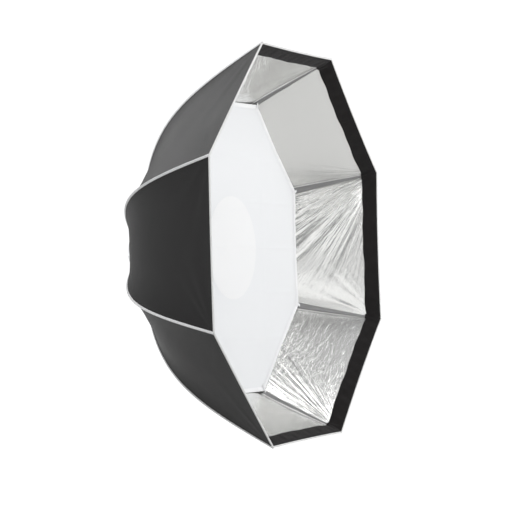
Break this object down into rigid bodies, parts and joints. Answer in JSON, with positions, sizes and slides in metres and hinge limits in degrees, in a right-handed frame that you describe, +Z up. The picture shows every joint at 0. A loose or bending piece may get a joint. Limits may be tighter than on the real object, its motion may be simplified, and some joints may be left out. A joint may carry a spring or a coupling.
{
  "type": "folding octabox softbox",
  "caption": "Deep eight-sided softbox with black outer cloth, silver lining, inset white diffuser, curved spring-steel ribs and a quarter-turn style mounting ring; it folds like an umbrella.",
  "frame": {"origin": "centre of the mount insert's rear face, on the box's axis", "axes": "+Y along the axis to the rear, towards the light; the opening faces -Y; +Z up in use; +X completes the right-handed frame"},
  "size_m": [1.1086, 0.5397, 1.1086],
  "materials": {
    "outer_fabric": "coated black nylon, semi-matt",
    "silver_lining": "metallised silver face, crinkled",
    "seam_binding": "light grey woven binding tape",
    "rim_piping": "off-white woven edge piping",
    "loop_band": "black loop tape, matt",
    "sleeve_fabric": "silver rod sleeve",
    "diffuser_fabric": "white translucent nylon, matt",
    "diffuser_hem": "white folded hem",
    "rod_steel": "spring steel, bright",
    "socket_polymer": "black glass-filled nylon",
    "pin_steel": "plain steel",
    "insert_metal": "machined, satin",
    "ring_coat": "black satin powder coat",
    "knob_polymer": "black moulded"
  },
  "bodies": {
    "insert": {"mount_insert": "insert_metal", "insert_retaining_ring": "insert_metal"},
    "ring": {"speed_ring": "ring_coat", "ring_front_cover": "ring_coat", "hinge_pin_1": "pin_steel", "hinge_pin_2": "pin_steel", "hinge_pin_3": "pin_steel", "hinge_pin_4": "pin_steel", "hinge_pin_5": "pin_steel", "hinge_pin_6": "pin_steel", "hinge_pin_7": "pin_steel", "hinge_pin_8": "pin_steel"},
    "lock_pad": {"lock_pad": "knob_polymer"},
    "lock_screw": {"lock_stem": "pin_steel", "lock_knob": "knob_polymer"},
    "rib_1": {"rod_socket_1": "socket_polymer", "rod_1": "rod_steel"},
    "rib_2": {"rod_socket_2": "socket_polymer", "rod_2": "rod_steel"},
    "rib_3": {"rod_socket_3": "socket_polymer", "rod_3": "rod_steel"},
    "rib_4": {"rod_socket_4": "socket_polymer", "rod_4": "rod_steel"},
    "rib_5": {"rod_socket_5": "socket_polymer", "rod_5": "rod_steel"},
    "rib_6": {"rod_socket_6": "socket_polymer", "rod_6": "rod_steel"},
    "rib_7": {"rod_socket_7": "socket_polymer", "rod_7": "rod_steel"},
    "rib_8": {"rod_socket_8": "socket_polymer", "rod_8": "rod_steel"},
    "pleat_ccw_1": {"gore_ccw_1": "outer_fabric"},
    "pleat_cw_1": {"gore_cw_1": "outer_fabric"},
    "diffuser_1": {"diffuser_sector_1": "diffuser_fabric"},
    "pleat_ccw_2": {"gore_ccw_2": "outer_fabric"},
    "pleat_cw_2": {"gore_cw_2": "outer_fabric"},
    "diffuser_2": {"diffuser_sector_2": "diffuser_fabric"},
    "pleat_ccw_3": {"gore_ccw_3": "outer_fabric"},
    "pleat_cw_3": {"gore_cw_3": "outer_fabric"},
    "diffuser_3": {"diffuser_sector_3": "diffuser_fabric"},
    "pleat_ccw_4": {"gore_ccw_4": "outer_fabric"},
    "pleat_cw_4": {"gore_cw_4": "outer_fabric"},
    "diffuser_4": {"diffuser_sector_4": "diffuser_fabric"},
    "pleat_ccw_5": {"gore_ccw_5": "outer_fabric"},
    "pleat_cw_5": {"gore_cw_5": "outer_fabric"},
    "diffuser_5": {"diffuser_sector_5": "diffuser_fabric"},
    "pleat_ccw_6": {"gore_ccw_6": "outer_fabric"},
    "pleat_cw_6": {"gore_cw_6": "outer_fabric"},
    "diffuser_6": {"diffuser_sector_6": "diffuser_fabric"},
    "pleat_ccw_7": {"gore_ccw_7": "outer_fabric"},
    "pleat_cw_7": {"gore_cw_7": "outer_fabric"},
    "diffuser_7": {"diffuser_sector_7": "diffuser_fabric"},
    "pleat_ccw_8": {"gore_ccw_8": "outer_fabric"},
    "pleat_cw_8": {"gore_cw_8": "outer_fabric"},
    "diffuser_8": {"diffuser_sector_8": "diffuser_fabric"}
  },
  "joints": [
    {"name": "ring_turn", "type": "hinge", "parent": "insert", "child": "ring", "pos_m": [0, -0.02, 0], "axis": [0, 1, 0], "continuous": true},
    {"name": "lock_slide", "type": "slide", "parent": "ring", "child": "lock_pad", "axis": [0, 0, -1], "range_m": [0, 0.0025]},
    {"name": "lock_turn", "type": "hinge", "parent": "lock_pad", "child": "lock_screw", "pos_m": [0, -0.0145, -0.1], "axis": [0, 0, -1], "range_deg": [0, 720.5]},
    {"name": "fold_1", "type": "hinge", "parent": "ring", "child": "rib_1", "pos_m": [0.07391, -0.0281, 0.03061], "axis": [0.3827, 0, -0.9239], "range_deg": [0, 43], "deforming": ["gore_ccw_1", "gore_cw_1", "diffuser_sector_1", "gore_ccw_2", "gore_cw_2", "diffuser_sector_2", "gore_ccw_3", "gore_cw_3", "diffuser_sector_3", "gore_ccw_4", "gore_cw_4", "diffuser_sector_4", "gore_ccw_5", "gore_cw_5", "diffuser_sector_5", "gore_ccw_6", "gore_cw_6", "diffuser_sector_6", "gore_ccw_7", "gore_cw_7", "diffuser_sector_7", "gore_ccw_8", "gore_cw_8", "diffuser_sector_8"]},
    {"name": "fold_2", "type": "hinge", "parent": "ring", "child": "rib_2", "pos_m": [0.03061, -0.0281, 0.07391], "axis": [0.9239, 0, -0.3827], "range_deg": [0, 43]},
    {"name": "fold_3", "type": "hinge", "parent": "ring", "child": "rib_3", "pos_m": [-0.03061, -0.0281, 0.07391], "axis": [0.9239, 0, 0.3827], "range_deg": [0, 43]},
    {"name": "fold_4", "type": "hinge", "parent": "ring", "child": "rib_4", "pos_m": [-0.07391, -0.0281, 0.03061], "axis": [0.3827, 0, 0.9239], "range_deg": [0, 43]},
    {"name": "fold_5", "type": "hinge", "parent": "ring", "child": "rib_5", "pos_m": [-0.07391, -0.0281, -0.03061], "axis": [-0.3827, 0, 0.9239], "range_deg": [0, 43]},
    {"name": "fold_6", "type": "hinge", "parent": "ring", "child": "rib_6", "pos_m": [-0.03061, -0.0281, -0.07391], "axis": [-0.9239, 0, 0.3827], "range_deg": [0, 43]},
    {"name": "fold_7", "type": "hinge", "parent": "ring", "child": "rib_7", "pos_m": [0.03061, -0.0281, -0.07391], "axis": [-0.9239, 0, -0.3827], "range_deg": [0, 43]},
    {"name": "fold_8", "type": "hinge", "parent": "ring", "child": "rib_8", "pos_m": [0.07391, -0.0281, -0.03061], "axis": [-0.3827, 0, -0.9239], "range_deg": [0, 43]},
    {"name": "pleat_fold_ccw_1", "type": "hinge", "parent": "rib_1", "child": "pleat_ccw_1", "pos_m": [0.06123, -0.0281, 0.06123], "axis": [-0.0711, 0.1233, 0.9898], "range_deg": [0, 24.8]},
    {"name": "pleat_fold_cw_1", "type": "hinge", "parent": "rib_1", "child": "pleat_cw_1", "pos_m": [0.08659, -0.0281, 0], "axis": [-0.6496, -0.1233, 0.7502], "range_deg": [0, 24.8]},
    {"name": "diffuser_fold_1", "type": "hinge", "parent": "rib_1", "child": "diffuser_1", "pos_m": [0.43053, -0.3035, 0.17833], "axis": [0.3827, 0, -0.9239], "range_deg": [0, 25.01]},
    {"name": "pleat_fold_ccw_2", "type": "hinge", "parent": "rib_2", "child": "pleat_ccw_2", "pos_m": [0, -0.0281, 0.08659], "axis": [-0.7502, 0.1233, 0.6496], "range_deg": [0, 24.8]},
    {"name": "pleat_fold_cw_2", "type": "hinge", "parent": "rib_2", "child": "pleat_cw_2", "pos_m": [0.06123, -0.0281, 0.06123], "axis": [-0.9898, -0.1233, 0.0711], "range_deg": [0, 24.8]},
    {"name": "diffuser_fold_2", "type": "hinge", "parent": "rib_2", "child": "diffuser_2", "pos_m": [0.17833, -0.3035, 0.43053], "axis": [0.9239, 0, -0.3827], "range_deg": [0, 25.01]},
    {"name": "pleat_fold_ccw_3", "type": "hinge", "parent": "rib_3", "child": "pleat_ccw_3", "pos_m": [-0.06123, -0.0281, 0.06123], "axis": [-0.9898, 0.1233, -0.0711], "range_deg": [0, 24.8]},
    {"name": "pleat_fold_cw_3", "type": "hinge", "parent": "rib_3", "child": "pleat_cw_3", "pos_m": [0, -0.0281, 0.08659], "axis": [-0.7502, -0.1233, -0.6496], "range_deg": [0, 24.8]},
    {"name": "diffuser_fold_3", "type": "hinge", "parent": "rib_3", "child": "diffuser_3", "pos_m": [-0.17833, -0.3035, 0.43053], "axis": [0.9239, 0, 0.3827], "range_deg": [0, 25.01]},
    {"name": "pleat_fold_ccw_4", "type": "hinge", "parent": "rib_4", "child": "pleat_ccw_4", "pos_m": [-0.08659, -0.0281, 0], "axis": [-0.6496, 0.1233, -0.7502], "range_deg": [0, 24.8]},
    {"name": "pleat_fold_cw_4", "type": "hinge", "parent": "rib_4", "child": "pleat_cw_4", "pos_m": [-0.06123, -0.0281, 0.06123], "axis": [-0.0711, -0.1233, -0.9898], "range_deg": [0, 24.8]},
    {"name": "diffuser_fold_4", "type": "hinge", "parent": "rib_4", "child": "diffuser_4", "pos_m": [-0.43053, -0.3035, 0.17833], "axis": [0.3827, 0, 0.9239], "range_deg": [0, 25.01]},
    {"name": "pleat_fold_ccw_5", "type": "hinge", "parent": "rib_5", "child": "pleat_ccw_5", "pos_m": [-0.06123, -0.0281, -0.06123], "axis": [0.0711, 0.1233, -0.9898], "range_deg": [0, 24.8]},
    {"name": "pleat_fold_cw_5", "type": "hinge", "parent": "rib_5", "child": "pleat_cw_5", "pos_m": [-0.08659, -0.0281, 0], "axis": [0.6496, -0.1233, -0.7502], "range_deg": [0, 24.8]},
    {"name": "diffuser_fold_5", "type": "hinge", "parent": "rib_5", "child": "diffuser_5", "pos_m": [-0.43053, -0.3035, -0.17833], "axis": [-0.3827, 0, 0.9239], "range_deg": [0, 25.01]},
    {"name": "pleat_fold_ccw_6", "type": "hinge", "parent": "rib_6", "child": "pleat_ccw_6", "pos_m": [0, -0.0281, -0.08659], "axis": [0.7502, 0.1233, -0.6496], "range_deg": [0, 24.8]},
    {"name": "pleat_fold_cw_6", "type": "hinge", "parent": "rib_6", "child": "pleat_cw_6", "pos_m": [-0.06123, -0.0281, -0.06123], "axis": [0.9898, -0.1233, -0.0711], "range_deg": [0, 24.8]},
    {"name": "diffuser_fold_6", "type": "hinge", "parent": "rib_6", "child": "diffuser_6", "pos_m": [-0.17833, -0.3035, -0.43053], "axis": [-0.9239, 0, 0.3827], "range_deg": [0, 25.01]},
    {"name": "pleat_fold_ccw_7", "type": "hinge", "parent": "rib_7", "child": "pleat_ccw_7", "pos_m": [0.06123, -0.0281, -0.06123], "axis": [0.9898, 0.1233, 0.0711], "range_deg": [0, 24.8]},
    {"name": "pleat_fold_cw_7", "type": "hinge", "parent": "rib_7", "child": "pleat_cw_7", "pos_m": [0, -0.0281, -0.08659], "axis": [0.7502, -0.1233, 0.6496], "range_deg": [0, 24.8]},
    {"name": "diffuser_fold_7", "type": "hinge", "parent": "rib_7", "child": "diffuser_7", "pos_m": [0.17833, -0.3035, -0.43053], "axis": [-0.9239, 0, -0.3827], "range_deg": [0, 25.01]},
    {"name": "pleat_fold_ccw_8", "type": "hinge", "parent": "rib_8", "child": "pleat_ccw_8", "pos_m": [0.08659, -0.0281, 0], "axis": [0.6496, 0.1233, 0.7502], "range_deg": [0, 24.8]},
    {"name": "pleat_fold_cw_8", "type": "hinge", "parent": "rib_8", "child": "pleat_cw_8", "pos_m": [0.06123, -0.0281, -0.06123], "axis": [0.0711, -0.1233, 0.9898], "range_deg": [0, 24.8]},
    {"name": "diffuser_fold_8", "type": "hinge", "parent": "rib_8", "child": "diffuser_8", "pos_m": [0.43053, -0.3035, -0.17833], "axis": [-0.3827, 0, -0.9239], "range_deg": [0, 25.01]}
  ],
  "couplings": [
    {"joint": "lock_turn", "follows": "lock_slide", "rad_per_m": 5026.5},
    {"joint": "fold_2", "follows": "fold_1", "ratio": 1},
    {"joint": "fold_3", "follows": "fold_1", "ratio": 1},
    {"joint": "fold_4", "follows": "fold_1", "ratio": 1},
    {"joint": "fold_5", "follows": "fold_1", "ratio": 1},
    {"joint": "fold_6", "follows": "fold_1", "ratio": 1},
    {"joint": "fold_7", "follows": "fold_1", "ratio": 1},
    {"joint": "fold_8", "follows": "fold_1", "ratio": 1},
    {"joint": "pleat_fold_ccw_1", "follows": "fold_1", "ratio": 0.5764},
    {"joint": "pleat_fold_cw_1", "follows": "fold_1", "ratio": 0.5764},
    {"joint": "diffuser_fold_1", "follows": "fold_1", "ratio": 0.5814},
    {"joint": "pleat_fold_ccw_2", "follows": "fold_1", "ratio": 0.5764},
    {"joint": "pleat_fold_cw_2", "follows": "fold_1", "ratio": 0.5764},
    {"joint": "diffuser_fold_2", "follows": "fold_1", "ratio": 0.5814},
    {"joint": "pleat_fold_ccw_3", "follows": "fold_1", "ratio": 0.5764},
    {"joint": "pleat_fold_cw_3", "follows": "fold_1", "ratio": 0.5764},
    {"joint": "diffuser_fold_3", "follows": "fold_1", "ratio": 0.5814},
    {"joint": "pleat_fold_ccw_4", "follows": "fold_1", "ratio": 0.5764},
    {"joint": "pleat_fold_cw_4", "follows": "fold_1", "ratio": 0.5764},
    {"joint": "diffuser_fold_4", "follows": "fold_1", "ratio": 0.5814},
    {"joint": "pleat_fold_ccw_5", "follows": "fold_1", "ratio": 0.5764},
    {"joint": "pleat_fold_cw_5", "follows": "fold_1", "ratio": 0.5764},
    {"joint": "diffuser_fold_5", "follows": "fold_1", "ratio": 0.5814},
    {"joint": "pleat_fold_ccw_6", "follows": "fold_1", "ratio": 0.5764},
    {"joint": "pleat_fold_cw_6", "follows": "fold_1", "ratio": 0.5764},
    {"joint": "diffuser_fold_6", "follows": "fold_1", "ratio": 0.5814},
    {"joint": "pleat_fold_ccw_7", "follows": "fold_1", "ratio": 0.5764},
    {"joint": "pleat_fold_cw_7", "follows": "fold_1", "ratio": 0.5764},
    {"joint": "diffuser_fold_7", "follows": "fold_1", "ratio": 0.5814},
    {"joint": "pleat_fold_ccw_8", "follows": "fold_1", "ratio": 0.5764},
    {"joint": "pleat_fold_cw_8", "follows": "fold_1", "ratio": 0.5764},
    {"joint": "diffuser_fold_8", "follows": "fold_1", "ratio": 0.5814}
  ]
}
